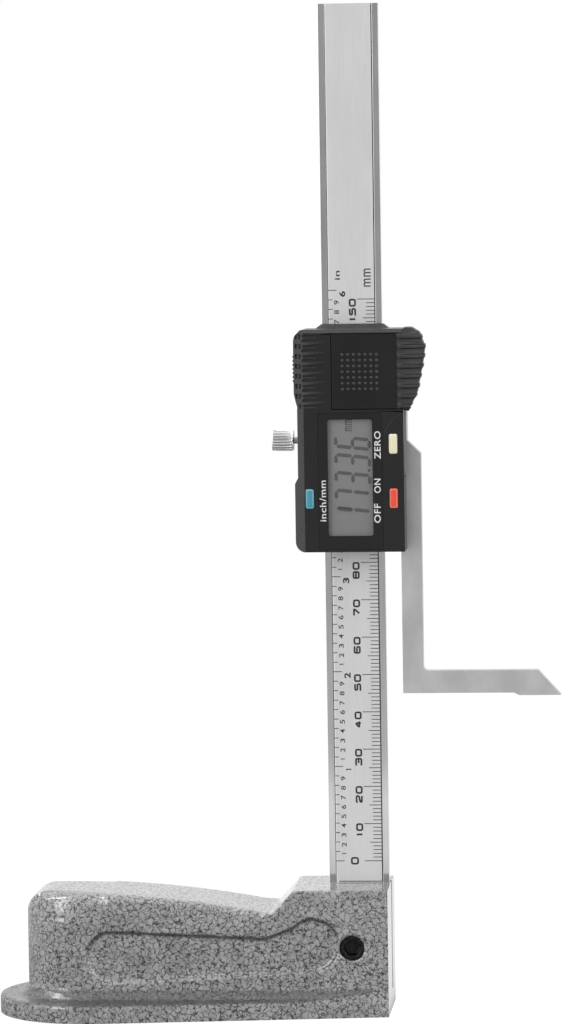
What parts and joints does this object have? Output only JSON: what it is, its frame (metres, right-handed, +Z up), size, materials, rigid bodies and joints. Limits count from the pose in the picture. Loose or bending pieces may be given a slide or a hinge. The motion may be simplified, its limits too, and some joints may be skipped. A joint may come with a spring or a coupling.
{
  "type": "digital height gauge",
  "caption": "Digital height gauge: steel beam with printed scale in a cast hammer-finish base, electronic slider with display, buttons and flat scriber arm.",
  "frame": {"origin": "middle of the foot's flat underside", "axes": "+X to the right along the base towards the beam and scriber, +Y to the back, +Z up along the beam"},
  "size_m": [0.1512, 0.05, 0.2675],
  "materials": {
    "hammer_paint": "glossy grey hammer-finish enamel on cast iron",
    "beam_steel": "ground steel",
    "circuit_strip": "green laminate",
    "scale_foil": "satin foil with black print",
    "black_steel": "black oxide",
    "brass": "plain",
    "frame_steel": "satin ground steel",
    "lock_chrome": "polished, knurled",
    "housing_plastic": "fine textured black",
    "label_film": "thin black film, white print",
    "window_acrylic": "clear acrylic",
    "display_glass": "grey liquid crystal display",
    "white_plastic": "moulded",
    "zebra_rubber": "soft layered rubber",
    "board_laminate": "green solder mask",
    "chip_resin": "black resin",
    "keypad_rubber": "silicone",
    "button_blue": "moulded",
    "button_yellow": "moulded",
    "button_red": "moulded",
    "cell_steel": "nickel-plated",
    "screw_steel": "zinc-plated"
  },
  "bodies": {
    "base": {"base_casting": "hammer_paint", "beam": "beam_steel", "scale_board": "circuit_strip", "scale_foil": "scale_foil", "beam_set_screw": "black_steel", "beam_clamp_pad": "brass"},
    "slider": {"slider_frame": "frame_steel", "gib_strip": "brass", "gib_screws": "black_steel", "housing_shell": "housing_plastic", "front_label": "label_film", "window_lens": "window_acrylic", "lcd_glass": "display_glass", "lcd_holder": "white_plastic", "zebra_strip": "zebra_rubber", "circuit_board": "board_laminate", "processor_cap": "chip_resin", "keypad_pads": "keypad_rubber", "coin_cell": "cell_steel", "battery_contact_plus": "brass", "battery_contact_minus": "brass", "housing_screws": "screw_steel"},
    "inch_mm_button": {"button_inch_mm": "button_blue"},
    "zero_button": {"button_zero": "button_yellow"},
    "on_off_button": {"button_on_off": "button_red"},
    "cover": {"battery_cover": "housing_plastic"},
    "locking_pad": {"lock_pad": "brass"},
    "locking_screw": {"lock_screw": "lock_chrome"}
  },
  "joints": [
    {"name": "slider_travel", "type": "slide", "parent": "base", "child": "slider", "axis": [0, 0, 1], "range_m": [-0.0836, 0.0663]},
    {"name": "inch_mm_press", "type": "slide", "parent": "slider", "child": "inch_mm_button", "axis": [0, 1, 0], "range_m": [0, 0.0005], "stiffness_N_per_m": 800},
    {"name": "zero_press", "type": "slide", "parent": "slider", "child": "zero_button", "axis": [0, 1, 0], "range_m": [0, 0.0005], "stiffness_N_per_m": 800},
    {"name": "on_off_press", "type": "slide", "parent": "slider", "child": "on_off_button", "axis": [0, 1, 0], "range_m": [0, 0.0005], "stiffness_N_per_m": 800},
    {"name": "battery_cover_slide", "type": "slide", "parent": "slider", "child": "cover", "axis": [1, 0, 0], "range_m": [0, 0.019]},
    {"name": "lock_pad_travel", "type": "slide", "parent": "slider", "child": "locking_pad", "axis": [-1, 0, 0], "range_m": [0, 0.0008]},
    {"name": "lock_screw_turn", "type": "hinge", "parent": "locking_pad", "child": "locking_screw", "pos_m": [0.0252, 0.00325, 0.152], "axis": [-1, 0, 0], "range_deg": [0, 720]}
  ],
  "couplings": [
    {"joint": "lock_screw_turn", "follows": "lock_pad_travel", "rad_per_m": 15708}
  ]
}
